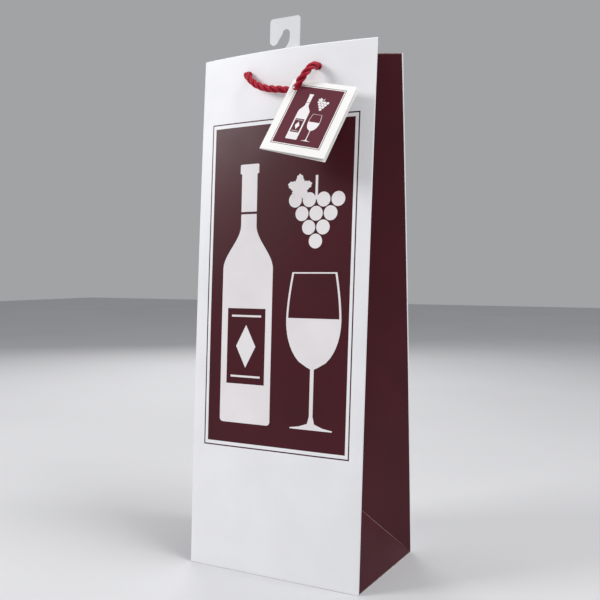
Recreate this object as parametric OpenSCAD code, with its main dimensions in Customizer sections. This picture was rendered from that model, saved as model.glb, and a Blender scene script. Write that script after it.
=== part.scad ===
// A wine gift bag of folded card, with twisted cord handles, a hang tab and a folded gift tag.
// The base stands on z = 0, the front panel faces -y and the origin is the middle of the base.

/* [Bag] */
// Width of the front and back panels
bag_w = 127; // [115:1:140]
// Depth of the base from front to back
bag_d = 89; // [80:1:98]
// Height from the base to the mouth
bag_h = 340; // [330:1:360]
// Depth of the mouth from front to back, with the sides folded in
mouth_d = 41; // [36:1:60]
// How far the middle of each big panel bows out at the mouth
bow = 5.3; // [1:0.1:8]
// How much of the lean is kept for the upper half of the panels
spring = 0.25; // [0:0.05:0.5]
// Lean of the lower triangle of each side, in degrees from upright
foot_lean = 26; // [15:1:35]

/* [Card] */
// Thickness of the printed card
card_t = 0.4; // [0.3:0.1:0.5]
// Thickness of the board that stiffens the mouth and the base
board_t = 0.8; // [0.5:0.1:1]
// Height of the edge turned in at the mouth
hem_h = 38; // [30:1:42]
// Height of the stiffening board under the turned edge
board_h = 30; // [26:1:34]
// Width of the glued seam
seam_w = 16; // [10:1:20]

/* [Handles] */
// Diameter of the twisted cord
cord_d = 4.4; // [3:0.1:5]
// Distance between the two holes of a handle
hole_gap = 50.8; // [40:0.1:60]
// Distance of the holes below the mouth
hole_drop = 14.3; // [12:0.1:18]
// Radius of a hole in a panel
hole_r = 2.6; // [2.5:0.1:3.5]
// Radius of the knots at the ends of the cord
knot_r = 5.6; // [5:0.1:6.5]

/* [Hang tab] */
// Width of the hang tab
tab_w = 22; // [18:1:26]
// Height of the hang tab above the mouth
tab_up = 20; // [18:1:24]
// Length of the hang tab inside the bag
tab_down = 34; // [26:1:40]
// Thickness of the hang tab
tab_t = 0.6; // [0.5:0.1:0.8]
// Radius of the hook's throat
throat_r = 2.7; // [2.5:0.1:3]

/* [Gift tag] */
// Width of the folded tag
tag_w = 44; // [36:1:50]
// Height of the folded tag
tag_h = 53; // [44:1:60]
// Thickness of the tag's card
tag_t = 0.5; // [0.3:0.1:0.6]
// Radius of the tag's hole
tag_hole_r = 3; // [2.8:0.1:3.2]
// How far the cover stands open at its fold, in degrees
tag_gape = 3; // [2:1:6]

/* [Hidden] */

white = "whitesmoke";
maroon = "#4a1f28";
cord_red = "crimson";
board_grey = "gainsboro";

// Gap left between pieces that are glued or folded together
glue = 0.06;
// Gap left round a crease that a piece turns about
crease_gap = 0.3;
// Height at which the panels start, clear of the surface the bag stands on
panel_z = 0.2;
// Strips that a bent sheet is divided into across, and the height of each of its rows
across = 16;
row_h = 19;

half_w = bag_w / 2;
half_d = bag_d / 2;
hole_z = bag_h - hole_drop;
hole_x = hole_gap / 2;
// Depth under the outer face at which each layer at the mouth starts
stiffener_in = card_t + glue;
hem_in = stiffener_in + board_t + glue;
adhesive_in = hem_in + card_t + 2 * glue;
adhesive_t = 0.2;
tab_in = adhesive_in + adhesive_t + glue;
// Where the side's crease starts above the base, and where it ends at the mouth
crease_low = [half_w - half_d * sin(foot_lean), 0, half_d * cos(foot_lean)];
crease_top = [half_w - sqrt(pow(half_d, 2) - pow(mouth_d / 2, 2)), 0, bag_h];
// The line that a handle turns about lies this far out from the middle of the bag
pivot_y = half_depth(hole_z) + belly(hole_x, hole_z) + cord_d / 2 + crease_gap;
// The hole of the gift tag, and how the tag hangs from it: turned, tilted, then rolled
tag_hole = [15.8, -35.4, 312.1];
tag_turn = 12;
tag_tilt = -28;
tag_roll = 15.5;
// The tag's hole lies this far from its fold and from its top edge
tag_hole_in = 4.7;
tag_hole_down = 5.3;
// Gap between the leaves of the tag at their fold
tag_fold_gap = 0.1;

// Routes of the cords: across, out from the line the handle turns about, and up from the holes
front_loop = [
    [-25.4, 0, 0], [-22, 2, -3.4], [-16.5, 3.6, -7.6], [-9, 4.8, -10.9], [-1, 5.4, -12.6],
    [6, 4.2, -13.5], [12, 3.5, -15.3], [15.8, 7, -13.6], [18.9, 10.3, -11.4],
    [22.3, 10, -7.4], [24.6, 6.8, -2.8], [25.5, 3, -0.3], [25.4, 0, 0]
];
rear_loop = [
    [-25.4, 0, 0], [-22, 2.6, -2.1], [-17.5, 4.2, -6.9], [-12, 5, -12.1], [-6, 5.4, -15.1],
    [0, 5.5, -16],
    [6, 5.4, -15.1], [12, 5, -12.1], [17.5, 4.2, -6.9], [22, 2.6, -2.1], [25.4, 0, 0]
];
// Each tail runs in through its hole, turns down and hangs inside the panel, ending in its knot
tail = [
    [0, -2.6, 0], [0, -6, 0], [0, -9.5, -1], [0, -12.2, -3.6], [0, -13.4, -7.2], [0, -13.6, -12],
    [0, -13.6, -24], [0, -13.6, -36], [0, -13.6, -48], [0, -13.6, -60], [0, -13.6, -72]
];
knot_drop = 76;

function mix(a, b, share) = a + (b - a) * share;
function steps(first, last, count) = [for (i = [0 : count]) mix(first, last, i / count)];
function unit(v) = v / norm(v);
function rows_of(height) = max(2, ceil(height / row_h));

// Half the bag's depth at a height: the panels lean in, and more so near the mouth
function half_depth(z) =
    let (share = z / bag_h)
    mix(bag_d, mouth_d, share - spring * share * (1 - share)) / 2;

// How far a big panel bows out at a place
function belly(x, z) = bow * (1 - pow(x / half_w, 2)) * pow(z / bag_h, 2);

// A point on the front panel's outer face, or a depth under it
function front_at(x, z, depth = 0) = [x, depth - half_depth(z) - belly(x, z), z];

// A point on the right front gusset: share 0 is the panel's edge and 1 the crease
function gusset_at(share, rise, depth = 0) =
    let (z = mix(crease_gap, bag_h, rise))
    let (edge = [half_w, 2 * card_t + glue - half_depth(z), z])
    let (crease = mix(crease_low, crease_top, rise) - [0, glue, 0])
    let (run = crease - edge)
    let (outward = unit([run.y, -run.x, 0]))
    mix(edge, crease, share) - outward * depth;

// A cord's point in the bag's own frame, on the front side
function cord_at(p) = [p.x, -pivot_y - p.y, hole_z + p.z];

// A closed sheet between two faces, each a list of rows of points
module sheet(outer, inner) {
    rows = len(outer);
    cols = len(outer[0]);
    points = [for (face = [outer, inner]) for (row = face) each row];
    function o(r, c) = r * cols + c;
    function i(r, c) = rows * cols + r * cols + c;
    last_r = rows - 1;
    last_c = cols - 1;
    quads = [
        for (r = [0 : rows - 2]) for (c = [0 : cols - 2]) each [
            [o(r, c), o(r + 1, c), o(r + 1, c + 1), o(r, c + 1)],
            [i(r, c), i(r, c + 1), i(r + 1, c + 1), i(r + 1, c)]
        ],
        for (c = [0 : cols - 2]) each [
            [o(0, c), o(0, c + 1), i(0, c + 1), i(0, c)],
            [o(last_r, c + 1), o(last_r, c), i(last_r, c), i(last_r, c + 1)]
        ],
        for (r = [0 : rows - 2]) each [
            [o(r + 1, 0), o(r, 0), i(r, 0), i(r + 1, 0)],
            [o(r, last_c), o(r + 1, last_c), i(r + 1, last_c), i(r, last_c)]
        ]
    ];
    polyhedron(points, [for (q = quads) each [[q[0], q[1], q[2]], [q[0], q[2], q[3]]]]);
}

// A layer that follows the front panel, from one depth under its outer face to another
module front_layer(reach, z_low, z_high, depth, thick) {
    xs = steps(-reach, reach, across);
    zs = steps(z_low, z_high, rows_of(z_high - z_low));
    sheet(
        [for (z = zs) [for (x = xs) front_at(x, z, depth)]],
        [for (z = zs) [for (x = xs) front_at(x, z, depth + thick)]]
    );
}

// A layer that follows the right front gusset
module gusset_layer(share_1, share_2, rise_1, rise_2, depth, thick) {
    shares = steps(share_1, share_2, across / 2);
    rises = steps(rise_1, rise_2, rows_of((rise_2 - rise_1) * bag_h));
    sheet(
        [for (rise = rises) [for (share = shares) gusset_at(share, rise, depth)]],
        [for (rise = rises) [for (share = shares) gusset_at(share, rise, depth + thick)]]
    );
}

module at_both_holes() {
    for (side = [-1, 1]) translate([side * hole_x, 0, hole_z]) rotate([90, 0, 0]) children();
}

module cord_holes() {
    at_both_holes() cylinder(h = bag_d, r = hole_r, $fn = 32);
}

module big_panel() {
    difference() {
        front_layer(half_w, panel_z, bag_h, 0, card_t);
        cord_holes();
    }
}

module big_hem() {
    hem_reach = half_w - 4.5;
    difference() {
        front_layer(hem_reach, bag_h - hem_h, bag_h - glue, hem_in, card_t);
        cord_holes();
    }
}

module mouth_stiffener() {
    board_reach = half_w - 5.5;
    difference() {
        front_layer(board_reach, bag_h - board_h - 1, bag_h - 1, stiffener_in, board_t);
        cord_holes();
    }
}

module gusset() {
    gusset_layer(0, 1, 0, 1, 0, card_t);
}

module gusset_hem() {
    gusset_layer(0.14, 0.97, 1 - hem_h / bag_h, 0.999, card_t + glue, card_t);
}

// The flap that closes the tube of card, glued inside the rear half of the right side
module seam() {
    gusset_layer(0.05, 0.05 + seam_w / half_d, 0.05, 0.87, card_t + glue, card_t);
}

// The lower triangle of the right side, which turns about the base's edge
module gusset_foot() {
    reach = half_d - 2 * crease_gap - card_t;
    translate([half_w, 0, 0])
        rotate([0, -foot_lean, 0])
        translate([-card_t, 0, 0])
        rotate([90, 0, 90])
        linear_extrude(card_t)
        polygon([[-reach, crease_gap], [reach, crease_gap], [0, half_d - crease_gap]]);
}

// A bottom flap lies flat, and its free edge is narrower than its crease
module bottom_flap(crease_len, length, taper, layer) {
    translate([0, 0, layer * (card_t + glue)])
        linear_extrude(card_t)
        polygon([
            [-crease_len / 2, 0], [crease_len / 2, 0],
            [crease_len / 2 - taper, length], [taper - crease_len / 2, length]
        ]);
}

module long_flap(length, layer) {
    translate([0, card_t + crease_gap - half_d, 0])
        bottom_flap(bag_w - 4, length, 3, layer);
}

module short_flap() {
    translate([half_w - 1.2, 0, 0]) rotate([0, 0, 90]) bottom_flap(bag_d - 3, 40, 8, 2);
}

module base_board() {
    board_w = bag_w - 5;
    board_d = bag_d - 3;
    translate([-board_w / 2, -board_d / 2, 3 * (card_t + glue)])
        cube([board_w, board_d, board_t]);
}

// Points along an arc, in degrees
function arc(middle, radius, from, to, count = 12) =
    [for (a = steps(from, to, count)) middle + radius * [cos(a), sin(a)]];

// The hook's outline: across, and up from the mouth
function hook_outline() =
    let (side = tab_w / 2)
    let (corner = 2)
    let (tip_r = 3.2)
    let (throat = [1, 9.6])
    concat(
        arc([side - corner, tab_up - corner], corner, 0, 90, 6),
        arc([corner - side, tab_up - corner], corner, 90, 180, 6),
        // round the tip of the hook and up into the throat
        arc([tip_r - side, 6.2], tip_r, 180, 345),
        arc(throat, throat_r, 180, 0),
        // down the inner side of the stem, which bends away from the tip
        arc([throat.x + throat_r - 9, 7.6], 9, 0, -62, 8),
        [[-side + 3, -3], [-side + 3, -tab_down]],
        arc([side - corner, corner - tab_down], corner, 270, 360, 6)
    );

// A flat plate behind the middle of the front panel, measured up from the mouth
module behind_panel(depth, thick) {
    drop = 30;
    top = front_at(0, bag_h, depth);
    low = front_at(0, bag_h - drop, depth);
    lean = atan((top.y - low.y) / drop);
    translate(top) rotate([90 - lean, 0, 0]) translate([0, 0, -thick]) linear_extrude(thick) children();
}

module tab_hook() {
    behind_panel(tab_in, tab_t) polygon(hook_outline());
}

module tab_adhesive() {
    side = tab_w / 2;
    behind_panel(adhesive_in, adhesive_t)
        translate([4 - side, 3 - tab_down])
        square([tab_w - 6, tab_down - 8]);
}

// Puts the tag's own frame, with its hole as the origin, where the tag hangs
module hang_on_cord() {
    translate(tag_hole)
        rotate([0, 0, tag_turn])
        rotate([tag_tilt, 0, 0])
        rotate([0, tag_roll, 0])
        children();
}

module tag_leaf() {
    difference() {
        translate([-tag_hole_in, 0, tag_hole_down - tag_h]) cube([tag_w, tag_t, tag_h]);
        rotate([90, 0, 0]) cylinder(h = 4 * tag_t, r = tag_hole_r, center = true, $fn = 32);
    }
}

// The cover's own face is the front of the tag, and it stands open at the fold
module tag_front() {
    hang_on_cord()
        translate([-tag_hole_in, 0, 0])
        rotate([0, 0, -tag_gape])
        translate([tag_hole_in, -tag_t - tag_fold_gap, 0])
        tag_leaf();
}

module tag_rear() {
    hang_on_cord() tag_leaf();
}

// A round cord swept along a route; side is a direction that no stretch of the route runs along
module cord(route, side) {
    sides = 10;
    last = len(route) - 1;
    function along_at(k) = unit(route[min(k + 1, last)] - route[max(k - 1, 0)]);
    function ring(k) =
        let (u = unit(cross(along_at(k), side)))
        let (v = cross(along_at(k), u))
        [for (n = [0 : sides - 1]) route[k] + cord_d / 2 * (cos(n * 360 / sides) * u + sin(n * 360 / sides) * v)];
    points = [for (k = [0 : last]) each ring(k)];
    walls = [
        for (k = [0 : last - 1]) for (n = [0 : sides - 1])
            let (a = k * sides + n)
            let (b = k * sides + (n + 1) % sides)
            each [[a, a + sides, b + sides], [a, b + sides, b]]
    ];
    ends = [
        [for (n = [0 : sides - 1]) n],
        [for (n = [sides - 1 : -1 : 0]) last * sides + n]
    ];
    polyhedron(points, concat(walls, ends));
}

module loop(route, side) {
    color(cord_red) cord([for (p = route) cord_at(p)], side);
}

module hanging_tail(side) {
    color(cord_red) cord([for (p = tail) cord_at(p + [side * hole_x, 0, 0])], [1, 0, 0]);
}

module knot(side) {
    color(cord_red)
        translate(cord_at([side * hole_x, -13.6, -knot_drop]))
        sphere(r = knot_r, $fn = 48);
}

module to_left() { mirror([1, 0, 0]) children(); }
module to_rear() { mirror([0, 1, 0]) children(); }

module front_panel() { color(white) big_panel(); }
module back_panel() { color(white) to_rear() big_panel(); }
module front_hem() { color(white) big_hem(); }
module back_hem() { color(white) to_rear() big_hem(); }
module front_stiffener() { color(board_grey) mouth_stiffener(); }
module back_stiffener() { color(board_grey) to_rear() mouth_stiffener(); }
module right_front_gusset() { color(maroon) gusset(); }
module right_rear_gusset() { color(maroon) to_rear() gusset(); }
module left_front_gusset() { color(maroon) to_left() gusset(); }
module left_rear_gusset() { color(maroon) to_left() to_rear() gusset(); }
module right_front_gusset_hem() { color(maroon) gusset_hem(); }
module right_rear_gusset_hem() { color(maroon) to_rear() gusset_hem(); }
module left_front_gusset_hem() { color(maroon) to_left() gusset_hem(); }
module left_rear_gusset_hem() { color(maroon) to_left() to_rear() gusset_hem(); }
module right_gusset_foot() { color(maroon) gusset_foot(); }
module left_gusset_foot() { color(maroon) to_left() gusset_foot(); }
module seam_flap() { color(white) to_rear() seam(); }
module front_bottom_flap() { color(white) long_flap(70, 0); }
module rear_bottom_flap() { color(white) to_rear() long_flap(60, 1); }
module right_bottom_flap() { color(maroon) short_flap(); }
module left_bottom_flap() { color(maroon) to_left() short_flap(); }
module base_card() { color(board_grey) base_board(); }
module hang_tab() { color(white) tab_hook(); }
module hang_tab_adhesive() { color(board_grey) tab_adhesive(); }
module tag_cover() { color(maroon) tag_front(); }
module tag_back_leaf() { color(white) tag_rear(); }
module front_handle_loop() { loop(front_loop, [0, 0.6, -0.8]); }
module rear_handle_loop() { to_rear() loop(rear_loop, [0, 0.7, -0.7]); }
module front_handle_left_tail() { hanging_tail(-1); }
module front_handle_right_tail() { hanging_tail(1); }
module rear_handle_left_tail() { to_rear() hanging_tail(-1); }
module rear_handle_right_tail() { to_rear() hanging_tail(1); }
module front_left_knot() { knot(-1); }
module front_right_knot() { knot(1); }
module rear_left_knot() { to_rear() knot(-1); }
module rear_right_knot() { to_rear() knot(1); }

front_panel();
back_panel();
front_hem();
back_hem();
front_stiffener();
back_stiffener();
right_front_gusset();
right_rear_gusset();
left_front_gusset();
left_rear_gusset();
right_front_gusset_hem();
right_rear_gusset_hem();
left_front_gusset_hem();
left_rear_gusset_hem();
right_gusset_foot();
left_gusset_foot();
seam_flap();
front_bottom_flap();
rear_bottom_flap();
right_bottom_flap();
left_bottom_flap();
base_card();
hang_tab();
hang_tab_adhesive();
tag_cover();
tag_back_leaf();
front_handle_loop();
rear_handle_loop();
front_handle_left_tail();
front_handle_right_tail();
rear_handle_left_tail();
rear_handle_right_tail();
front_left_knot();
front_right_knot();
rear_left_knot();
rear_right_knot();
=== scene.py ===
# %% [markdown]
# # A gift bag for a bottle
#
# The bag is one sheet of printed card, creased and glued into a tube that is wide at its base and
# pleated in at its mouth. Two twisted cords are its handles, a die-cut tab hangs it on a shop's peg
# and a small folded card hangs on the front cord.
#
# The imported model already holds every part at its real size. This script dresses it: the card gets
# its folds, print and cut edges, the cords get their strands, and each finish gets a material.

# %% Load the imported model
import math

import bmesh
import bpy
from mathutils import Matrix, Vector, geometry, noise


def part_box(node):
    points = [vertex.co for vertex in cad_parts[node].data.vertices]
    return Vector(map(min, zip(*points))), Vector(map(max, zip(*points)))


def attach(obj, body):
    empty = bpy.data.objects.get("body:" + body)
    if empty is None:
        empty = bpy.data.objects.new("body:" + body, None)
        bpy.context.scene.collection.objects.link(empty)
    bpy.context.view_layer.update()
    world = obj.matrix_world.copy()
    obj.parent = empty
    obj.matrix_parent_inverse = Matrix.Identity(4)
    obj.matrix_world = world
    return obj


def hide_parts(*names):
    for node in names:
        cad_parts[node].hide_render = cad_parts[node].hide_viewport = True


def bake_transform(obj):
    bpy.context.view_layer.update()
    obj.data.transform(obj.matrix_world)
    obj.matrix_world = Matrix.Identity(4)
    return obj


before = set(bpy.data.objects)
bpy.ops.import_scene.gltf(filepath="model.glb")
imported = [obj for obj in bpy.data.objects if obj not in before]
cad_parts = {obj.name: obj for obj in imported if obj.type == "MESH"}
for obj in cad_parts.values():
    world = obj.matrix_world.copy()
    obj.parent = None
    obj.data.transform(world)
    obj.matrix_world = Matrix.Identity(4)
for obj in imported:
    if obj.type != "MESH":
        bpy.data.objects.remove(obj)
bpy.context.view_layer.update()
MM = 0.001
X_AXIS = Vector((1, 0, 0))
Z_AXIS = Vector((0, 0, 1))

# %% [markdown]
# ## The camera
#
# The camera stands to the right of the bag, a little above its middle, and looks slightly down on
# it. The lens is longer than the sensor is wide, so the bag narrows only a little with distance. The
# small shift slides the picture across the sensor, which frames the bag without turning the camera.

# %% Camera
camera_data = bpy.data.cameras.new("camera")
camera_data.sensor_width = 36.0
camera_data.lens = 48.08
camera_data.shift_x = -0.0222
camera_data.shift_y = 0.0598
camera_data.clip_start = 0.02
camera_turn = math.radians(28.12)
camera_down = math.radians(4.66)
camera = bpy.data.objects.new("camera", camera_data)
camera.location = (0.2636, -0.4778, 0.1990)
camera.rotation_euler = (math.pi / 2 - camera_down, 0.0, camera_turn)
bpy.context.scene.collection.objects.link(camera)
bpy.context.scene.camera = camera

# %% [markdown]
# ## The bag's own shape
#
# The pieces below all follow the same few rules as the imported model: the big panels lean in towards
# the mouth and bow out across their width, and each side is pleated in along a straight crease. The
# rules are in millimetres, with the base at z = 0 and the front panel facing -y.

# %% Driving sizes
panel_low, panel_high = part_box("front_panel")
half_w = round(panel_high.x / MM, 1)
half_d = round(-panel_low.y / MM, 1)
bag_h = round(panel_high.z / MM, 1)
mouth_d = 41.0
bow = 5.3
spring = 0.25
foot_lean = math.radians(26)
card_t = 0.4
board_t = 0.8
glue = 0.06
hem_h = 38.0
hole_x = 25.4
hole_z = bag_h - 14.3
hole_r = 2.6
cord_d = 4.4
hem_in = card_t + glue + board_t + glue
crease_low = Vector((half_w - half_d * math.sin(foot_lean), 0, half_d * math.cos(foot_lean)))
crease_top = Vector((half_w - math.sqrt(half_d ** 2 - (mouth_d / 2) ** 2), 0, bag_h))
print("panel", round(2 * half_w, 1), "wide, base", round(2 * half_d, 1), "deep")


def mix(a, b, share):
    return a + (b - a) * share


def ease(t):
    """Runs smoothly from 0 to 1."""
    t = min(max(t, 0.0), 1.0)
    return t * t * (3 - 2 * t)


def half_depth(z):
    """Half the bag's depth at a height."""
    share = z / bag_h
    return mix(2 * half_d, mouth_d, share - spring * share * (1 - share)) / 2


def cockle(x, z):
    """The slight waves of a creased sheet of card, which stop at the stiffened mouth."""
    wave_height = 0.35
    wave_width = 38
    wave_length = 55
    starts_over = 60
    stops_from = 262
    stops_over = 30
    slice_of_noise = 5.2
    across = 1 - (x / half_w) ** 2
    upright = ease(z / starts_over) * (1 - ease((z - stops_from) / stops_over))
    wave = noise.noise(Vector((x / wave_width, slice_of_noise, z / wave_length)))
    return wave_height * across * upright * wave


def belly(x, z):
    """How far a big panel bows out."""
    return bow * (1 - (x / half_w) ** 2) * (z / bag_h) ** 2 + cockle(x, z)


def front_point(x, z, depth=0.0):
    """A point on the front panel, at a depth under its outer face."""
    return Vector((x, depth - half_depth(z) - belly(x, z), z))

# %% [markdown]
# ## From a flat sheet to a folded one
#
# A paper maker prints and cuts the sheet while it is flat, and folds it afterwards. The script works
# in the same order. A grid is cut along the edges of the print with `bisect_plane`, its faces get
# their inks, and only then is every corner point moved to its place on the bag. `solidify` gives the
# sheet its thickness last.

# %% Helpers for sheets of card
CELL = 5.0


def flat_sheet(x1, x2, z1, z2, cell=CELL):
    """A flat grid that stands upright and faces -y."""
    bm = bmesh.new()
    columns = max(1, math.ceil((x2 - x1) / cell))
    rows = max(1, math.ceil((z2 - z1) / cell))
    middle = Matrix.Translation(((x1 + x2) / 2, 0, (z1 + z2) / 2))
    stand = Matrix.Rotation(math.pi / 2, 4, "X")
    stretch = Matrix.Diagonal((x2 - x1, z2 - z1, 1, 1))
    bmesh.ops.create_grid(
        bm, x_segments=columns, y_segments=rows, size=0.5, matrix=middle @ stand @ stretch
    )
    return bm


def cut(bm, axis, places):
    """Divides the sheet along straight lines across an axis."""
    for place in places:
        everything = bm.verts[:] + bm.edges[:] + bm.faces[:]
        bmesh.ops.bisect_plane(bm, geom=everything, dist=1e-5, plane_co=axis * place, plane_no=axis)


def fill(bm, outline):
    """Adds a flat filled outline that stands upright, and returns its points."""
    made = bmesh.ops.create_circle(bm, segments=len(outline), radius=1.0, cap_ends=True)["verts"]
    for v, (x, z) in zip(made, outline):
        v.co = (x, 0, z)
    bm.normal_update()
    return made


def face_front(bm):
    """Turns every face of a flat sheet towards -y."""
    bmesh.ops.reverse_faces(bm, faces=[f for f in bm.faces if f.normal.y > 0])


def trim(bm, unwanted):
    """Deletes the faces whose middles a rule picks out."""
    gone = [f for f in bm.faces if unwanted(f.calc_center_median())]
    bmesh.ops.delete(bm, geom=gone, context="FACES")


def fold(bm, rule):
    """Moves every point of the flat sheet to its place."""
    for v in bm.verts:
        v.co = rule(v.co)
    bm.normal_update()


def thicken(bm, thickness, core):
    """Gives a sheet its thickness inwards. The new faces take the material at index core."""
    printed = len(bm.faces)
    bmesh.ops.solidify(bm, geom=bm.faces[:], thickness=thickness)
    for f in list(bm.faces)[printed:]:
        f.material_index = core


def keep(name, bm, materials, corner=35):
    """Makes an object of a mesh drawn in millimetres. Edges sharper than corner stay sharp."""
    bmesh.ops.scale(bm, vec=(MM, MM, MM), verts=bm.verts)
    mesh = bpy.data.meshes.new(name)
    bm.to_mesh(mesh)
    bm.free()
    for material in materials:
        mesh.materials.append(material)
    mesh.shade_smooth()
    mesh.set_sharp_from_angle(angle=math.radians(corner))
    piece = bpy.data.objects.new(name, mesh)
    bpy.context.scene.collection.objects.link(piece)
    print(name, len(mesh.polygons), "faces")
    return piece

# %% [markdown]
# ## Materials
#
# Almost everything here is card. What tells one card from another is its surface: print under a
# satin film is smooth with a soft shine, and raw board is dull and speckled with fibres. Each
# material starts from the Principled shader's roughness and adds a fine bump and a slight change of
# tone, at the size that the real grain has.

# %% Helpers for materials
def srgb(code):
    """A colour written as in a paint chart, turned to the linear values that a shader needs."""
    parts = [int(code[i:i + 2], 16) / 255 for i in (1, 3, 5)]
    return [c / 12.92 if c <= 0.04045 else ((c + 0.055) / 1.055) ** 2.4 for c in parts] + [1.0]


def add(tree, kind, settings, inputs):
    """Adds a node with its settings. An input is a value, or another node's output to link."""
    made = tree.nodes.new(kind)
    for name, value in settings.items():
        setattr(made, name, value)
    for name, value in inputs.items():
        if isinstance(value, bpy.types.NodeSocket):
            tree.links.new(value, made.inputs[name])
        else:
            made.inputs[name].default_value = value
    return made


def new_material(name, **shader):
    """A material with its Principled shader, whose plain values are set on its own sockets."""
    material = bpy.data.materials.new(name)
    material.use_nodes = True
    principled = material.node_tree.nodes["Principled BSDF"]
    for socket, value in shader.items():
        principled.inputs[socket.replace("_", " ")].default_value = value
    return material, material.node_tree, principled


def per_metre(size_mm):
    """The scale of a noise texture whose grains have a size in millimetres."""
    return 1 / (size_mm * MM)


def grain(tree, size_mm, detail=2.0, stretch=(1, 1, 1)):
    """Noise on the piece's own coordinates, with grains of a size in millimetres."""
    place = add(tree, "ShaderNodeTexCoord", {}, {})
    pull = add(tree, "ShaderNodeMapping", {}, {"Vector": place.outputs["Object"], "Scale": stretch})
    return add(tree, "ShaderNodeTexNoise", {}, {
        "Vector": pull.outputs["Vector"], "Scale": per_metre(size_mm), "Detail": detail,
    }).outputs["Fac"]


def between(tree, share, low, high, first, second):
    """A colour that goes from first to second as share goes from low to high."""
    ramp = add(tree, "ShaderNodeMapRange", {}, {
        "Value": share, "From Min": low, "From Max": high,
    })
    return add(tree, "ShaderNodeMix", {"data_type": "RGBA"}, {
        "Factor": ramp.outputs["Result"], 6: first, 7: second,
    }).outputs[2]


def bumped(tree, principled, height, distance_mm, strength):
    """Raises the surface by a height from 0 to 1, whose full step is a distance in millimetres."""
    bump = add(tree, "ShaderNodeBump", {}, {
        "Height": height, "Distance": distance_mm * MM, "Strength": strength,
    })
    tree.links.new(bump.outputs["Normal"], principled.inputs["Normal"])

# %% [markdown]
# ### Printed card under a satin film
#
# The bag's card is coated art paper of about 250 g a square metre, printed by offset and covered with
# a satin film. The film levels the paper's grain to a faint mottle and gives a soft, wide shine. The
# same function makes the white and the wine-red print. Where the card is folded the film and the ink
# crack a little, and the white paper shows along the fold, so the print fades to paper where the
# mesh says that there is a fold.

# %% Satin card
def satin_card(name, ink, shade, roughness, worn="#cfc6c4"):
    material, tree, principled = new_material(name, IOR=1.48, Specular_IOR_Level=0.22)
    mottle = grain(tree, 34, 3.0)
    tone = between(tree, mottle, 0.35, 0.68, srgb(ink), srgb(shade))
    wear = add(tree, "ShaderNodeAttribute", {"attribute_name": "wear"}, {})
    speckle = grain(tree, 1.1, 2.0)
    broken = add(tree, "ShaderNodeMath", {"operation": "MULTIPLY"}, {
        0: wear.outputs["Fac"], 1: speckle,
    })
    colour = add(tree, "ShaderNodeMix", {"data_type": "RGBA"}, {
        "Factor": broken.outputs[0], 6: tone, 7: srgb(worn),
    })
    tree.links.new(colour.outputs[2], principled.inputs["Base Color"])
    rough = add(tree, "ShaderNodeMapRange", {}, {
        "Value": mottle, "From Min": 0.3, "From Max": 0.7,
        "To Min": roughness - 0.03, "To Max": roughness + 0.04,
    })
    tree.links.new(rough.outputs["Result"], principled.inputs["Roughness"])
    bumped(tree, principled, grain(tree, 0.9, 3.0), 0.02, 0.35)
    return material


white_card = satin_card("white_satin_card", "#f3f3f5", "#eeeef1", 0.42)
maroon_card = satin_card("wine_red_satin_card", "#49151f", "#42121b", 0.37)

# %% [markdown]
# ### Raw card, grey board and tape
#
# Inside, the card is bare uncoated paper: warm white, dull, with fibres a millimetre long. The mouth
# and the base are stiffened with board made of recycled paper, which is grey with dark and light
# flecks. The hang tab is held by a strip of thin tape.

# %% Raw board
def raw_board(name, pulp, fleck, fleck_mm, roughness):
    material, tree, principled = new_material(name, Roughness=roughness, IOR=1.45)
    fibres = grain(tree, fleck_mm, 4.0, (1, 1, 0.35))
    colour = between(tree, fibres, 0.42, 0.66, srgb(pulp), srgb(fleck))
    tree.links.new(colour, principled.inputs["Base Color"])
    bumped(tree, principled, grain(tree, 0.5, 4.0, (1, 1, 0.4)), 0.05, 0.5)
    return material


paper_core = raw_board("uncoated_paper", "#f0efeb", "#e4e2dc", 1.2, 0.8)
grey_board = raw_board("recycled_grey_board", "#b9b4a9", "#99938a", 1.0, 0.9)
tab_sheet = satin_card("white_tab_board", "#dfe1e3", "#d9dbde", 0.45)
tape, tape_tree, tape_shader = new_material("double_sided_tape", IOR=1.48, Roughness=0.3)
tape_tone = between(
    tape_tree, grain(tape_tree, 3, 2.0, (1, 1, 0.2)), 0.4, 0.6, srgb("#dedcd2"), srgb("#d2d0c6")
)
tape_tree.links.new(tape_tone, tape_shader.inputs["Base Color"])

# %% [markdown]
# ### The tag's card and the printer's white
#
# The tag is stiffer matt card of 300 g. Its print has no film over it, so it is a little duller. The
# white figures are a layer of opaque white ink, which lies a hair's breadth proud of the red.

# %% Tag card and white ink
tag_white = satin_card("matt_tag_card", "#f4f3f1", "#efeeeb", 0.55)
tag_maroon = satin_card("matt_wine_red_print", "#642f3a", "#5d2b35", 0.5)
white_ink = satin_card("opaque_white_ink", "#f0eced", "#e8e3e5", 0.5)
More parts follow.
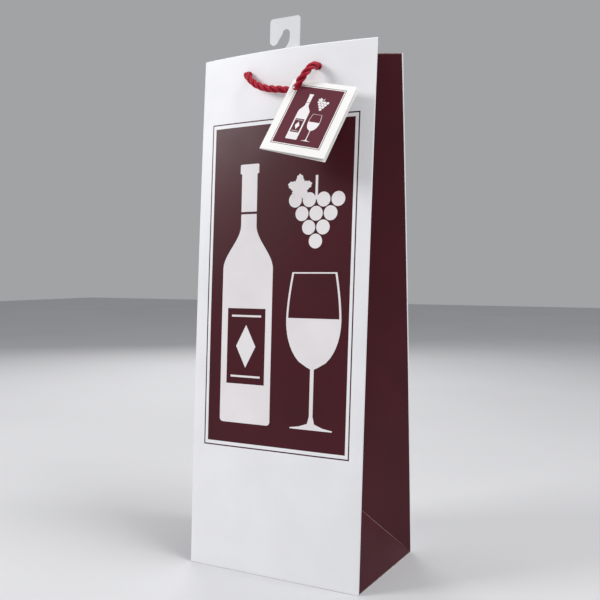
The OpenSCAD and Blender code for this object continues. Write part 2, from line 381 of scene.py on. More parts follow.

# %% [markdown]
# ### Twisted rayon cord
#
# The handles are satin cord: filaments of rayon are spun into three strands, and the strands are
# twisted the other way into a rope. The filaments show as fine lines that run nearly along the rope,
# as a bump and as painted highlight and shade: the red is lighter on their crests and darker between
# them. Each strand's mesh carries its own attribute, `lay`: the cosine and sine of the angle round
# the strand, and the distance along it. A sine wave of both makes the lines, and it closes round the
# strand because it has a whole number of waves. A second attribute, `crown`, is small in the grooves
# between strands, and the colour is darkened there as painted shade.

# %% Rayon
def rayon_cord():
    material, tree, principled = new_material(
        "wine_red_rayon_cord", Roughness=0.4, IOR=1.5, Specular_IOR_Level=0.22,
        Sheen_Weight=0.06, Sheen_Roughness=0.4, Sheen_Tint=srgb("#e8808c"), Anisotropic=0.4,
    )
    waves_round = 9
    waves_per_mm = 0.8
    lay = add(tree, "ShaderNodeAttribute", {"attribute_name": "lay"}, {})
    parts = add(tree, "ShaderNodeSeparateXYZ", {}, {"Vector": lay.outputs["Vector"]})
    angle = add(tree, "ShaderNodeMath", {"operation": "ARCTAN2"}, {
        0: parts.outputs[1], 1: parts.outputs[0],
    })
    turned = add(tree, "ShaderNodeMath", {"operation": "MULTIPLY"}, {
        0: angle.outputs[0], 1: waves_round,
    })
    phase = add(tree, "ShaderNodeMath", {"operation": "MULTIPLY_ADD"}, {
        0: parts.outputs[2], 1: 2 * math.pi * waves_per_mm, 2: turned.outputs[0],
    })
    wave = add(tree, "ShaderNodeMath", {"operation": "SINE"}, {0: phase.outputs[0]})
    uneven = grain(tree, 0.7, 2.0)
    height = add(tree, "ShaderNodeMath", {"operation": "MULTIPLY_ADD"}, {
        0: wave.outputs[0], 1: 0.3, 2: uneven,
    })
    # Painted highlight and shade: the red is lighter on the crests of the filament wave and darker in
    # its troughs. The noise adds a random change of tone.
    colour = between(tree, height.outputs[0], 0.15, 0.9, srgb("#860a20"), srgb("#d01a3a"))
    # Painted shade: the colour is darkened in the grooves between strands, where crown is small.
    crown = add(tree, "ShaderNodeAttribute", {"attribute_name": "crown"}, {})
    shaded = between(tree, crown.outputs["Fac"], 0.5, 0.9, srgb("#4a0410"), srgb("#ffffff"))
    colour_with_painted_groove_shade = add(tree, "ShaderNodeMix", {"data_type": "RGBA", "blend_type": "MULTIPLY"}, {
        "Factor": 0.8, 6: colour, 7: shaded,
    })
    tree.links.new(colour_with_painted_groove_shade.outputs[2], principled.inputs["Base Color"])
    bumped(tree, principled, height.outputs[0], 0.09, 0.7)
    return material


rayon = rayon_cord()

# %% [markdown]
# ## The cord handles
#
# Each handle is one length of cord: it starts in a knot inside the bag, comes up behind the panel
# and out through its hole, hangs in a loop, and goes back in to a second knot. The route below is a
# short list of points that a hand would mark with pins: across, out from the line that the handle
# turns about, and up from the holes. A smooth curve joins them.

# %% Routes of the cords
pivot_y = half_depth(hole_z) + belly(hole_x, hole_z) + cord_d / 2 + 0.3
front_loop = [
    (-25.4, 0, 0), (-22, 2, -3.4), (-16.5, 3.6, -7.6), (-9, 4.8, -10.9), (-1, 5.4, -12.6),
    (6, 4.2, -13.5), (12, 3.5, -15.3), (15.8, 7, -13.6), (18.9, 10.3, -11.4),
    (22.3, 10, -7.4), (24.6, 6.8, -2.8), (25.5, 3, -0.3), (25.4, 0, 0),
]
rear_loop = [
    (-25.4, 0, 0), (-22, 2.6, -2.1), (-17.5, 4.2, -6.9), (-12, 5, -12.1), (-6, 5.4, -15.1),
    (0, 5.5, -16),
    (6, 5.4, -15.1), (12, 5, -12.1), (17.5, 4.2, -6.9), (22, 2.6, -2.1), (25.4, 0, 0),
]
tail = [
    (0, -2.6, 0), (0, -6, 0), (0, -9.5, -1), (0, -12.2, -3.6), (0, -13.4, -7.2), (0, -13.6, -12),
    (0, -13.6, -24), (0, -13.6, -36), (0, -13.6, -48), (0, -13.6, -60), (0, -13.6, -72),
]
knot_at = (0, -13.6, -76)


def cord_point(p, facing, beside=0.0):
    """A pin of a route in the bag's frame. facing is -1 on the front handle and 1 on the rear one."""
    return Vector((p[0] + beside, facing * (pivot_y + p[1]), hole_z + p[2]))


def handle_route(loop, facing):
    """The pins of a whole handle, from its left knot to its right one."""
    left = [cord_point(p, facing, -hole_x) for p in reversed(tail)]
    right = [cord_point(p, facing, hole_x) for p in tail]
    return left + [cord_point(p, facing) for p in loop] + right


def smooth_route(pins, step=0.7):
    """Points every step along one smooth curve through the pins."""
    last = len(pins) - 1
    slopes = [(pins[min(i + 1, last)] - pins[max(i - 1, 0)]).normalized() for i in range(last + 1)]
    fine = []
    for i in range(last):
        third = (pins[i + 1] - pins[i]).length / 3
        near = pins[i] + slopes[i] * third
        far = pins[i + 1] - slopes[i + 1] * third
        fine += geometry.interpolate_bezier(pins[i], near, far, pins[i + 1], 24)[:-1]
    fine.append(pins[last])
    line = [fine[0]]
    for point in fine[1:]:
        if (point - line[-1]).length >= step:
            line.append(point)
    return line


def length_of(line):
    return sum((b - a).length for a, b in zip(line, line[1:]))

# %% [markdown]
# ### Laying the strands
#
# A rope can be faked with a bump on a tube, but its outline would stay smooth and its strands would
# not cast shadows on each other. Here each strand is swept as a real tube: a circle is extruded ring
# by ring, and every new ring is turned by the least rotation that lines it up with the route, so the
# tube doesn't twist by itself. The strands wind round the cord's own line.

# %% Rope
STRANDS = 3
PITCH = 15.5
SIDES = 12
swell = 1.06
squeeze = 1.1
strand_r = squeeze * cord_d / 2 / (1 + 2 / math.sqrt(3))
strand_off = swell * cord_d / 2 - strand_r


def frames_along(line):
    """A matrix at each point of a line, whose z axis runs along it, turned as little as possible."""
    last = len(line) - 1
    ways = [(line[min(i + 1, last)] - line[max(i - 1, 0)]).normalized() for i in range(last + 1)]
    turn = ways[0].to_track_quat("Z", "X")
    frames = []
    for i, way in enumerate(ways):
        if i:
            turn = ways[i - 1].rotation_difference(way) @ turn
        frames.append(Matrix.Translation(line[i]) @ turn.to_matrix().to_4x4())
    return frames


def sweep(bm, line, radius, heart, sides=SIDES):
    """Extrudes a circle along a line. Each point learns how it lies on the tube and from the heart."""
    lay = bm.verts.layers.float_vector.get("lay") or bm.verts.layers.float_vector.new("lay")
    crown = bm.verts.layers.float.get("crown") or bm.verts.layers.float.new("crown")
    frames = frames_along(line)
    start = bmesh.ops.create_circle(bm, segments=sides, radius=radius, cap_ends=True, matrix=frames[0])
    ring = start["verts"]
    edges = list({e for v in ring for e in v.link_edges})
    along = 0.0
    for i, place in enumerate(frames):
        if i:
            made = bmesh.ops.extrude_edge_only(bm, edges=edges)["geom"]
            ring = [g for g in made if isinstance(g, bmesh.types.BMVert)]
            edges = [g for g in made if isinstance(g, bmesh.types.BMEdge)]
            bmesh.ops.transform(bm, matrix=place @ frames[i - 1].inverted(), verts=ring)
            along += (line[i] - line[i - 1]).length
        back = place.inverted()
        for v in ring:
            flat = back @ v.co / radius
            v[lay] = (flat.x, flat.y, along)
            # crown is the distance from the rope's middle line. The cord's material paints shade in the
            # grooves, where it is small.
            v[crown] = (v.co - heart[i]).length / (strand_off + strand_r)
    bmesh.ops.contextual_create(bm, geom=edges)


def rope(name, line, phase=0.0):
    """A three-strand rope round a line."""
    bm = bmesh.new()
    frames = frames_along(line)
    for strand in range(STRANDS):
        along = 0.0
        centre = []
        for i, place in enumerate(frames):
            if i:
                along += (line[i] - line[i - 1]).length
            a = 2 * math.pi * (along / PITCH + strand / STRANDS) + phase
            centre.append(place @ Vector((strand_off * math.cos(a), strand_off * math.sin(a), 0)))
        sweep(bm, centre, strand_r, line)
    bmesh.ops.recalc_face_normals(bm, faces=bm.faces)
    return keep(name, bm, [rayon], corner=60)


routes = {
    "front": smooth_route(handle_route(front_loop, -1)),
    "rear": smooth_route(handle_route(rear_loop, 1)),
}
handles = {end: rope(end + "_handle", routes[end]) for end in routes}
print("cord lengths", {end: round(length_of(line), 1) for end, line in routes.items()}, "mm")

# %% [markdown]
# ### The knots
#
# A plain overhand knot stops each end behind its hole. What shows of a pulled-tight knot is a few
# close turns of the cord round itself, with the cut end below, so the knot is the same rope on a
# short tight coil that starts and ends on the cord's line.

# %% Knots
def knot_route(centre):
    turns = 1.9
    half_height = 5.0
    wide = 3.1
    count = 26
    route = []
    for i in range(count + 1):
        t = i / count
        a = 2 * math.pi * turns * t
        reach = wide * math.sqrt(math.sin(math.pi * t))
        offset = Vector((reach * math.cos(a), reach * math.sin(a), mix(half_height, -half_height, t)))
        route.append(centre + offset)
    return route + [centre - Z_AXIS * (half_height + d) for d in (2.0, 4.5)]


knots = {"front": [], "rear": []}
for end, facing in (("front", -1), ("rear", 1)):
    for side, beside in (("left", -hole_x), ("right", hole_x)):
        route = smooth_route(knot_route(cord_point(knot_at, facing, beside)))
        knots[end].append(rope(f"{end}_{side}_overhand_knot", route))

# %% [markdown]
# ### The handles and their knots
#
# On the real bag a handle keeps still with its panel inside and turns with the loop outside, bending
# and twisting where the cord leaves its hole. Here only the knots go with their panels; the handle's
# rope stays where it is drawn.

# %% Knots go with their panels
for end, facing, panel_body in (("front", -1, "front"), ("rear", 1, "back")):
    handle = handles[end]
    loop_body = end + "_handle"
    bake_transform(handle)
    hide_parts(loop_body + "_loop", loop_body + "_left_tail", loop_body + "_right_tail")
    for side, knot in zip(("left", "right"), knots[end]):
        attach(knot, panel_body)
        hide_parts(f"{end}_{side}_knot")

# %% [markdown]
# ## The big panels
#
# Front and back are one shape. The sheet stands flat while the print is cut into it: a thin frame
# line, a white gap and a large red block. Past each side the white print runs a millimetre or so
# round the crease, and above the mouth the sheet turns over the stiffening board and down inside.

# %% Sizes of the printed label
line_out = 54.4
line_in = 53.55
block_half = 51.5
line_low = 82.1
line_high = 296.1
line_t = line_out - line_in
block_low = 85.2
block_high = 293.0
crease_r = 0.5
lip = 1.6
lip_from = half_w - crease_r
top_r = (hem_in + card_t) / 2
turn_from = bag_h - top_r
over_top = turn_from + math.pi * top_r
hem_half = half_w - 4.5


def crease_point(rise):
    """The side's crease: rise is 0 at its lower end and 1 at the mouth."""
    return mix(crease_low, crease_top, rise)


def corner_point(past, z, depth=0.0):
    """The card where it turns round the right-hand crease: past is the distance gone round it."""
    centre = Vector((lip_from, crease_r - half_depth(z) - belly(lip_from, z), z))
    run = crease_point(z / bag_h) - centre
    full_turn = math.atan2(run.y, run.x)
    turn = min(past / crease_r, full_turn)
    straight = max(0.0, past - crease_r * full_turn)
    outward = Vector((math.sin(turn), -math.cos(turn), 0))
    onward = Vector((math.cos(turn), math.sin(turn), 0))
    return centre + outward * (crease_r - depth) + onward * straight


def panel_fold(co):
    """Where a point of the flat panel goes."""
    x, _, s = co
    z, depth = s, 0.0
    if s > over_top:
        z, depth = turn_from - (s - over_top), 2 * top_r
    elif s > turn_from:
        a = (s - turn_from) / top_r
        z, depth = turn_from + top_r * math.sin(a), top_r * (1 - math.cos(a))
    past = abs(x) - lip_from
    if past <= 0:
        return front_point(x, z, depth)
    point = corner_point(past, z, depth)
    return Vector((math.copysign(point.x, x), point.y, point.z))


def print_label(bm):
    """Cuts the frame line and the block into the sheet and inks them."""
    cut(bm, X_AXIS, [side * x for side in (-1, 1) for x in (line_out, line_in, block_half)])
    cut(bm, Z_AXIS, [line_low, line_low + line_t, block_low, block_high, line_high - line_t, line_high])
    for f in bm.faces:
        x, _, z = f.calc_center_median()
        x = abs(x)
        in_frame = x < line_out and line_low < z < line_high
        in_gap = x < line_in and line_low + line_t < z < line_high - line_t
        in_block = x < block_half and block_low < z < block_high
        f.material_index = 1 if in_block or in_frame and not in_gap else 0

# %% Punching holes
def punch(piece, places, radius, along):
    """Punches round holes through a piece with a boolean, and keeps the result as its mesh."""
    through = 12
    bm = bmesh.new()
    turn = along.to_track_quat("Z", "X").to_matrix().to_4x4()
    for place in places:
        bmesh.ops.create_cone(
            bm, cap_ends=True, segments=48, radius1=radius * MM, radius2=radius * MM,
            depth=through * MM, matrix=Matrix.Translation(place * MM) @ turn,
        )
    mesh = bpy.data.meshes.new("punch")
    bm.to_mesh(mesh)
    bm.free()
    cutter = bpy.data.objects.new("punch", mesh)
    bpy.context.scene.collection.objects.link(cutter)
    modifier = piece.modifiers.new("punch", "BOOLEAN")
    modifier.operation = "DIFFERENCE"
    modifier.solver = "EXACT"
    modifier.object = cutter
    solid = piece.evaluated_get(bpy.context.evaluated_depsgraph_get())
    piece.data = bpy.data.meshes.new_from_object(solid)
    piece.modifiers.clear()
    bpy.data.objects.remove(cutter)
    piece.data.set_sharp_from_angle(angle=math.radians(35))

# %% Front and back panels
def big_panel(name):
    sheet_low = 0.2
    bm = flat_sheet(-lip_from, lip_from, sheet_low, over_top + turn_from - (bag_h - hem_h))
    for side in (-1, 1):
        rim = [e for e in bm.edges if all(abs(v.co.x - side * lip_from) < 1e-4 for v in e.verts)]
        made = bmesh.ops.extrude_edge_only(bm, edges=rim)["geom"]
        moved = [g for g in made if isinstance(g, bmesh.types.BMVert)]
        bmesh.ops.translate(bm, vec=X_AXIS * side * lip, verts=moved)
    bm.normal_update()
    face_front(bm)
    turns = 8
    round_crease = [lip_from + lip * k / turns for k in range(1, turns)]
    cut(bm, X_AXIS, [side * x for side in (-1, 1) for x in round_crease])
    cut(bm, X_AXIS, [-hem_half, hem_half])
    cut(bm, Z_AXIS, [mix(turn_from, over_top, k / 10) for k in range(11)])
    halfway = (turn_from + over_top) / 2
    trim(bm, lambda c: c.z > halfway and abs(c.x) > hem_half)
    trim(bm, lambda c: c.z > mix(turn_from, over_top, 0.2) and abs(c.x) > lip_from)
    print_label(bm)
    fold(bm, panel_fold)
    thicken(bm, card_t, 2)
    return bm


panel_inks = [white_card, maroon_card, paper_core]
hole_y = -half_depth(hole_z) - 3
hole_places = [Vector((side * hole_x, hole_y, hole_z)) for side in (-1, 1)]
half_turn = Matrix.Rotation(math.pi, 4, "Z")


def turned(bm, rear):
    """Turns a piece drawn for the front to the back of the bag."""
    if rear:
        bmesh.ops.transform(bm, matrix=half_turn, verts=bm.verts)
    return bm


for end, body, rear in (("front", "front", False), ("back", "back", True)):
    piece = keep(end + "_printed_panel", turned(big_panel(end), rear), panel_inks)
    punch(piece, [half_turn @ p if rear else p for p in hole_places], hole_r, Vector((0, 1, 0)))
    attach(piece, body)
    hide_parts(end + "_panel", end + "_hem")

# %% [markdown]
# ## The pleated sides
#
# Each side is two halves that meet at a crease and fold in towards the bag. A half is a ruled
# surface: straight lines run from the edge of the big panel to the crease. The mouth's edge is
# turned in here as well. Along the folds the ink has cracked, so the mesh marks them as worn.

# %% Side halves
side_run = 46.0
side_r = (2 * card_t + glue) / 2
side_crown = bag_h - side_r
side_over = side_crown + math.pi * side_r
side_low = 0.3
hem_shares = (0.12, 0.96)


def side_point(share, z, inwards=0.0):
    """A point on the right front half: share is 0 at the big panel and 1 at the crease."""
    edge = corner_point(lip, z)
    crease = crease_point(z / bag_h)
    run = crease - edge
    outward = Vector((run.y, -run.x, 0)).normalized()
    return mix(edge, crease, share) - outward * inwards


def side_fold(co):
    """Where a point of the flat side goes."""
    share = co.x / side_run
    s = co.z
    if s > side_over:
        return side_point(share, side_crown - (s - side_over), 2 * side_r)
    if s > side_crown:
        a = (s - side_crown) / side_r
        return side_point(share, side_crown, side_r * (1 - math.cos(a))) + Z_AXIS * side_r * math.sin(a)
    return side_point(share, s)


def mark_wear(bm, amount):
    """Writes how worn each point is, from 0 to 1, by a rule on its place in the flat sheet."""
    wear = bm.verts.layers.float.new("wear")
    for v in bm.verts:
        v[wear] = amount(v.co)


def corner_flip(right, front):
    """The signs that take a point of the right front corner to another corner."""
    return Vector((1 if right else -1, 1 if front else -1, 1))


def mirrored(bm, right, front):
    """Mirrors a piece drawn for the right front half to the place of another half."""
    bmesh.ops.scale(bm, vec=corner_flip(right, front), verts=bm.verts)
    if right != front:
        bmesh.ops.reverse_faces(bm, faces=bm.faces)
    return bm


def side_half():
    """The right front half, printed outside, with its mouth's edge turned in."""
    worn_top = 0.6
    worn_foot = 0.5
    bm = flat_sheet(0, side_run, side_low, side_over + side_crown - (bag_h - hem_h))
    top_middle = (side_crown + side_over) / 2
    worn_from = side_crown - worn_top
    top_turn = [mix(side_crown, side_over, k / 8) for k in range(9)]
    cut(bm, X_AXIS, [side_run * share for share in hem_shares])
    cut(bm, Z_AXIS, [side_low + worn_foot, worn_from] + top_turn)
    trim(bm, lambda c: c.z > top_middle and not hem_shares[0] < c.x / side_run < hem_shares[1])

    def worn(co):
        at_top = worn_from + 0.01 < co.z < top_middle + 0.1
        at_foot = co.z < side_low + 0.1
        return 1.0 if at_top else 0.1 if at_foot else 0.0

    mark_wear(bm, worn)
    fold(bm, side_fold)
    thicken(bm, card_t, 1)
    return bm


def seam():
    """The flap that closes the sheet, glued inside the right rear half."""
    low, high = 0.05 * bag_h, 0.87 * bag_h
    near, far = 0.05 * side_run, 0.41 * side_run
    bm = flat_sheet(near, far, low, high)
    fold(bm, lambda co: side_point(co.x / side_run, co.z, card_t + glue))
    thicken(bm, card_t, 0)
    return bm


corner_low = side_point(0, 0)
corner_top = side_point(0, bag_h)


def bend_with_side(piece):
    """Bakes a piece's place into its mesh; it is not made to bend."""
    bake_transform(piece)


for right in (True, False):
    for front in (True, False):
        half = f"{'right' if right else 'left'}_{'front' if front else 'rear'}"
        bm = mirrored(side_half(), right, front)
        piece = keep(half + "_side_half", bm, [maroon_card, paper_core])
        bend_with_side(piece)
        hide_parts(half + "_gusset", half + "_gusset_hem")

piece = keep("glued_seam_flap", mirrored(seam(), True, False), [paper_core])
bend_with_side(piece)
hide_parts("seam_flap")

# %% [markdown]
# ### The lower triangles
#
# Under the two slanting creases a triangle of each side leans in from the base's edge. It is flat,
# so three points make it. Two insets give it the narrow worn rim along its folds.

# %% Lower triangles
def side_triangle(right):
    """A lower triangle, standing on the base's edge and leaning in by foot_lean."""
    edge = half_d - 0.35
    rim = 0.8
    fade = 0.25
    slanting_wear = 0.1
    base_wear = 1.3
    bm = bmesh.new()
    wear = bm.verts.layers.float.new("wear")
    fill(bm, [(-edge, side_low), (edge, side_low), (0, half_d)])
    face_front(bm)
    middle = bm.faces[:][0]
    for width in (rim, fade):
        bmesh.ops.inset_individual(bm, faces=[middle], thickness=width)
    inner = set(middle.verts)
    for v in bm.verts:
        at_base = v.co.z < side_low + rim + 0.01
        v[wear] = 0.0 if v in inner else base_wear if at_base else slanting_wear
    cut(bm, X_AXIS, [0])
    lean = (
        Matrix.Translation((half_w, 0, 0))
        @ Matrix.Rotation(-foot_lean, 4, "Y")
        @ Matrix.Rotation(math.pi / 2, 4, "Z")
    )
    bmesh.ops.transform(bm, matrix=lean, verts=bm.verts)
    bm.normal_update()
    thicken(bm, card_t, 1)
    if not right:
        bmesh.ops.scale(bm, vec=Vector((-1, 1, 1)), verts=bm.verts)
        bmesh.ops.reverse_faces(bm, faces=bm.faces)
    return bm


for hand in ("right", "left"):
    piece = keep(hand + "_side_triangle", side_triangle(hand == "right"), [maroon_card, paper_core])
    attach(piece, hand + "_foot")
    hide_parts(hand + "_gusset_foot")

# %% [markdown]
# ## The printed figures
#
# The label carries a plain picture of a bottle, a glass and a bunch of grapes in opaque white ink.
# Each figure is an outline that is filled while flat. The fills are then cut by the same kind of
# grid as the card, so that they bend with the panel, and laid on it a few hundredths of a
# millimetre proud. Red details lie on the white as a second coat, and white ones on them as a third.

# %% Outlines of the figures
def steps(first, last, count):
    """Evenly spaced values from first to last, both included."""
    return [mix(first, last, i / count) for i in range(count + 1)]


def both_sides(profile):
    """A closed outline from a list of half widths and heights."""
    return profile + [(-w, z) for w, z in reversed(profile)]


def box_outline(half, low, high):
    return [(half, low), (half, high), (-half, high), (-half, low)]


def circle_outline(radius):
    turn = steps(0, 2 * math.pi, 24)[:-1]
    return [(radius * math.cos(a), radius * math.sin(a)) for a in turn]


def bottle_outline():
    body = 18
    neck = 5.6
    shoulder_low = 94
    shoulder_rise = 26
    foot = [(16, 0), (17.4, 0.6), (body, 2)]
    shoulder = [
        (mix(body, neck, ease(t)), shoulder_low + shoulder_rise * t) for t in steps(0, 1, 12)
    ]
    lip_ring = [(neck, 151), (6.8, 151.6), (6.8, 156.4), (6.2, 157)]
    return both_sides(foot + shoulder + lip_ring)


bowl_low = 36.0
bowl_height = 56.0
bowl_widest = 0.5
bowl_half_w = 18
rim_half_w = 14.5


def bowl_half(t):
    """Half the width of the glass's bowl: t is 0 at the stem and 1 at the rim."""
    if t < bowl_widest:
        return bowl_half_w * math.sqrt(1 - (1 - t / bowl_widest) ** 2)
    return mix(bowl_half_w, rim_half_w, ((t - bowl_widest) / (1 - bowl_widest)) ** 1.6)


def glass_outline():
    stem = [(14, 0), (14, 0.7), (8, 1.6), (2.4, 3.6), (1.2, 8), (1.2, bowl_low - 0.5)]
    bowl = [(bowl_half(t), bowl_low + bowl_height * t) for t in steps(0.01, 1, 18)]
    return both_sides(stem + bowl)


def empty_bowl_outline():
    wall = 1.3
    level = 0.52
    return both_sides([
        (bowl_half(t) - wall, bowl_low + bowl_height * t) for t in steps(level, 0.985, 10)
    ])


def leaf_reach(a):
    """How far a vine leaf reaches at an angle: five lobes with toothed rims."""
    return 6.6 + 1.5 * math.cos(5 * a) + 0.35 * math.cos(25 * a)


def leaf_outline():
    return [
        (leaf_reach(a) * math.sin(a), leaf_reach(a) * math.cos(a))
        for a in steps(0, 2 * math.pi, 90)[:-1]
    ]


def figures():
    """Every filled shape: its outline, its place, and its coat. Coat 1 is red, 0 and 2 are white."""
    bottle_at = (-21, 0)
    glass_at = (25, 0)
    grape = 4.3
    grape_across = 2.14 * grape
    grape_down = 1.86 * grape
    longest_row = 4
    bunch_top = 134
    shapes = [
        (bottle_outline(), bottle_at, 0),
        (box_outline(13.6, 24, 70), bottle_at, 1),
        ([(0, 34), (7, 47), (0, 60), (-7, 47)], bottle_at, 2),
        (box_outline(10.6, 28, 29.2), bottle_at, 2),
        (box_outline(10.6, 64.8, 66), bottle_at, 2),
        (box_outline(5.6, 127, 128.4), bottle_at, 1),
        (glass_outline(), glass_at, 0),
        (empty_bowl_outline(), glass_at, 1),
        (leaf_outline(), (glass_at[0] - 11, bunch_top + 7), 0),
        (box_outline(0.8, bunch_top, bunch_top + 14), glass_at, 0),
    ]
    for row in range(longest_row):
        in_row = longest_row - row
        for k in range(in_row):
            across = glass_at[0] + (k - (in_row - 1) / 2) * grape_across
            shapes.append((circle_outline(grape), (across, bunch_top - row * grape_down), 0))
    return shapes

# %% Laying the ink
COAT = 0.03


def lay_ink(size, middle, cell, rule):
    """Fills the figures on a flat sheet, cuts them into cells and bends them by a rule."""
    clear = 1.5
    bm = bmesh.new()
    coat_of = bm.verts.layers.int.new("coat")
    for outline, at, coat in figures():
        for v in fill(bm, [(x + at[0], z + at[1]) for x, z in outline]):
            v[coat_of] = coat
    for f in bm.faces:
        f.material_index = 1 if f.verts[0][coat_of] == 1 else 0
    bmesh.ops.triangulate(bm, faces=bm.faces[:])
    face_front(bm)
    low = Vector((-45, 0, 0))
    high = Vector((45, 0, 162))
    cut(bm, X_AXIS, steps(low.x, high.x, math.ceil((high.x - low.x) / cell)))
    cut(bm, Z_AXIS, steps(low.z, high.z, math.ceil((high.z - low.z) / cell)))
    for v in bm.verts:
        flat = middle + Vector((v.co.x, 0, v.co.z - high.z / 2)) * size
        v.co = rule(flat, -COAT * (clear + v[coat_of]))
    bm.normal_update()
    bmesh.ops.solidify(bm, geom=bm.faces[:], thickness=COAT)
    return bm


label_middle = Vector((0, 0, (block_low + block_high) / 2 - 3))
for end, body, rear in (("front", "front", False), ("back", "back", True)):
    bm = lay_ink(1.08, label_middle, 4.0, lambda co, depth: front_point(co.x, co.z, depth))
    piece = keep(end + "_label_figures", turned(bm, rear), [white_ink, maroon_card])
    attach(piece, body)

# %% [markdown]
# ## The hang tab
#
# A hook stamped out of stiff white board stands up behind the mouth, so that the bag can hang on a
# shop's peg. Its outline is drawn flat as straight runs and arcs, filled, given its thickness and
# leaned back to lie along the panel.

# %% Hang tab
tab_half = 11.0
tab_up = 20.0
tab_down = 34.0
tab_t = 0.6
tab_in = hem_in + card_t + 2 * glue + 0.2 + glue


def arc(middle, radius, first, last, count=16):
    """Points on an arc, whose ends are in degrees."""
    turns = [math.radians(a) for a in steps(first, last, count)]
    return [(middle[0] + radius * math.cos(a), middle[1] + radius * math.sin(a)) for a in turns]


def hook_outline():
    corner = 2.0
    tip_r = 3.2
    throat = (1.0, 9.6)
    throat_r = 2.7
    stem_r = 9.0
    return (
        arc((tab_half - corner, tab_up - corner), corner, 0, 90)
        + arc((corner - tab_half, tab_up - corner), corner, 90, 180)
        + arc((tip_r - tab_half, 6.2), tip_r, 180, 345, 28)
        + arc(throat, throat_r, 180, 0, 28)
        + arc((throat[0] + throat_r - stem_r, 7.6), stem_r, 0, -62)
        + [(3 - tab_half, -3), (3 - tab_half, -tab_down)]
        + arc((tab_half - corner, corner - tab_down), corner, 270, 360)
    )


def hang_tab():
    bm = bmesh.new()
    fill(bm, hook_outline())
    bmesh.ops.remove_doubles(bm, verts=bm.verts, dist=1e-3)
    face_front(bm)
    thicken(bm, tab_t, 0)
    rim = [e for e in bm.edges if e.calc_face_angle(0) > math.radians(60)]
    bmesh.ops.bevel(
        bm, geom=rim, offset=0.1, offset_type="OFFSET", segments=2, profile=0.5, affect="EDGES",
        material=-1, clamp_overlap=True,
    )
    drop = 30.0
    top = front_point(0, bag_h, tab_in)
    low = front_point(0, bag_h - drop, tab_in)
    lean = math.atan((top.y - low.y) / drop)
    place = Matrix.Translation(top) @ Matrix.Rotation(-lean, 4, "X")
    bmesh.ops.transform(bm, matrix=place, verts=bm.verts)
    return bm


tab = keep("hook_shaped_hang_tab", hang_tab(), [tab_sheet], corner=20)
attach(tab, "front")
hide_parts("hang_tab")

# %% [markdown]
# ## The gift tag
#
# The tag is one card folded in half, with a hole near the top of its fold for the cord. It is drawn
# flat like the bag: the cover is printed, the sheet is wrapped round the fold and the back leaf lies
# behind. Both leaves are one mesh, with the cover standing a little open at the fold.

# %% Sizes of the tag
tag_w = 44.0
tag_t = 0.5
tag_top = 5.3
tag_low = tag_top - 53.0
tag_left = -4.7
tag_hole_r = 3.0
tag_gape = math.radians(3)
leaf_gap = 0.05
tag_fold_r = tag_t + leaf_gap
tag_hole = Vector((15.8, -35.4, 312.1))
tag_turn = (
    Matrix.Rotation(math.radians(12), 4, "Z")
    @ Matrix.Rotation(math.radians(-28), 4, "X")
    @ Matrix.Rotation(math.radians(15.5), 4, "Y")
)
tag_place = Matrix.Translation(tag_hole) @ tag_turn
fold_x = tag_left + tag_fold_r


def tag_point(x, z, proud=0.0):
    """Where a point of the flat tag goes: x is above 0 on the cover and below it past the fold."""
    half_turn_run = math.pi * tag_fold_r
    reach = tag_fold_r + proud
    if x < -half_turn_run:
        return tag_place @ Vector((fold_x - x - half_turn_run, reach, z))
    a = max(0.0, -x / tag_fold_r)
    arm = Vector((max(x, 0.0) - reach * math.sin(a), -reach * math.cos(a), 0))
    opened = Matrix.Rotation(-tag_gape * (1 - a / math.pi), 3, "Z") @ arm
    return tag_place @ Vector((fold_x + opened.x, opened.y - leaf_gap, z))


def tag_card():
    """Cover and back leaf in one sheet, with the same frame line and red block as the bag."""
    side_gap = 5.2
    top_gap = 3.6
    line = 0.4
    white = 0.55
    leaf = tag_w - tag_fold_r
    low_x = side_gap - tag_fold_r
    high_x = leaf - side_gap
    low_z = tag_low + side_gap
    high_z = tag_top - top_gap
    bm = flat_sheet(-math.pi * tag_fold_r - leaf, leaf, tag_low, tag_top, cell=4.0)
    rings = [0, line, line + white]
    cut(bm, X_AXIS, [low_x + d for d in rings] + [high_x - d for d in rings])
    cut(bm, X_AXIS, [-math.pi * tag_fold_r * k / 8 for k in range(9)])
    cut(bm, Z_AXIS, [low_z + d for d in rings] + [high_z - d for d in rings])
    for f in bm.faces:
        x, _, z = f.calc_center_median()
        inside = min(x - low_x, high_x - x, z - low_z, high_z - z)
        f.material_index = 1 if inside > line + white or 0 < inside < line else 0
    fold(bm, lambda co: tag_point(co.x, co.z))
    thicken(bm, tag_t, 0)
    return bm


tag = keep("folded_gift_tag", tag_card(), [tag_white, tag_maroon])
into_tag = (tag_turn @ Vector((0, 1, 0))).normalized()
punch(tag, [tag_hole], tag_hole_r, into_tag)
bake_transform(tag)
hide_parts("tag_cover", "tag_back_leaf")

tag_figures_middle = Vector((tag_w / 2 - tag_fold_r, 0, (tag_low + tag_top) / 2 + 0.6))
bm = lay_ink(0.215, tag_figures_middle, 20.0, lambda co, depth: tag_point(co.x, co.z, -depth))
tag_figures = keep("tag_figures", bm, [white_ink, tag_maroon])
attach(tag_figures, "tag_cover")

# %% [markdown]
# ## What stays as it was packed
#
# The boards, the bottom flaps and the tape are flat pieces that already have their true shape. They
# only need their materials, which go straight into their slots.

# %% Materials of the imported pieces
kept = {
    "front_stiffener": grey_board, "back_stiffener": grey_board, "base_card": grey_board,
    "front_bottom_flap": white_card, "rear_bottom_flap": white_card,
    "right_bottom_flap": maroon_card, "left_bottom_flap": maroon_card,
    "hang_tab_adhesive": tape,
}
for node_name, material in kept.items():
    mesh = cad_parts[node_name].data
    mesh.materials.clear()
    mesh.materials.append(material)
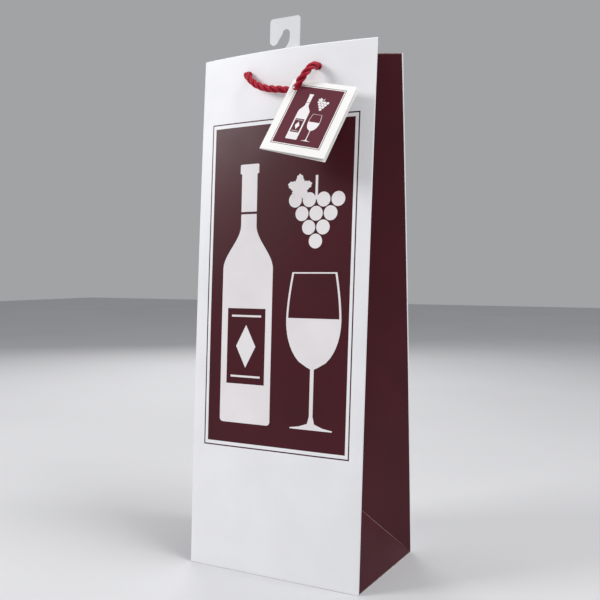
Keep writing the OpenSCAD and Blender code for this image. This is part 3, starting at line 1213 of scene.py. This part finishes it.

# %% [markdown]
# ## Where the cords end
#
# Both handles start and end in a knot behind the panel.

# %% [markdown]
# ## The studio
#
# The bag stands on a pale floor under four soft lights and a dim sky. The key light comes from the
# front left, and a light high on the right keeps the folded side from going dark. A weak one fills
# the right side from lower down, and one behind the bag lights its rim and the floor. Wide lights
# make soft shadows, and the satin film mirrors them as a glow rather than a spot.

# %% Floor
floor_half = 4 / MM
floor_bm = bmesh.new()
bmesh.ops.create_grid(floor_bm, x_segments=1, y_segments=1, size=floor_half)
floor_material, floor_tree, floor_shader = new_material("pale_studio_floor", Roughness=0.85)
floor_tone = between(
    floor_tree, grain(floor_tree, 400, 2.0), 0.3, 0.7, srgb("#d2d2d4"), srgb("#cdcdcf")
)
floor_tree.links.new(floor_tone, floor_shader.inputs["Base Color"])
floor = keep("floor", floor_bm, [floor_material])

# %% Lights
def soft_light(name, place, aim, size, power):
    """A white rectangular light at a place, turned to aim at a point, both in metres."""
    data = bpy.data.lights.new(name, "AREA")
    data.shape = "RECTANGLE"
    data.size, data.size_y = size
    data.energy = power
    light = bpy.data.objects.new(name, data)
    light.location = place
    light.rotation_euler = (Vector(aim) - Vector(place)).to_track_quat("-Z", "Y").to_euler()
    bpy.context.scene.collection.objects.link(light)


soft_light("key_light", (-0.80, -0.72, 0.76), (0, -0.02, 0.24), (0.42, 0.42), 8.0)
soft_light("side_light", (1.1, 0.1, 0.55), (0, 0, 0.15), (0.5, 0.8), 0.4)
soft_light("top_light", (0.75, -0.1, 1.25), (0, 0, 0), (0.6, 0.6), 10.5)
soft_light("back_light", (-0.8, 1.0, 0.8), (0, 0, 0.2), (0.6, 0.6), 6)
world = bpy.data.worlds.new("studio")
world.use_nodes = True
sky = world.node_tree.nodes["Background"]
sky.inputs["Color"].default_value = srgb("#f1f2f5")
sky.inputs["Strength"].default_value = 0.41
bpy.context.scene.world = world
bpy.context.scene.view_settings.view_transform = "Standard"
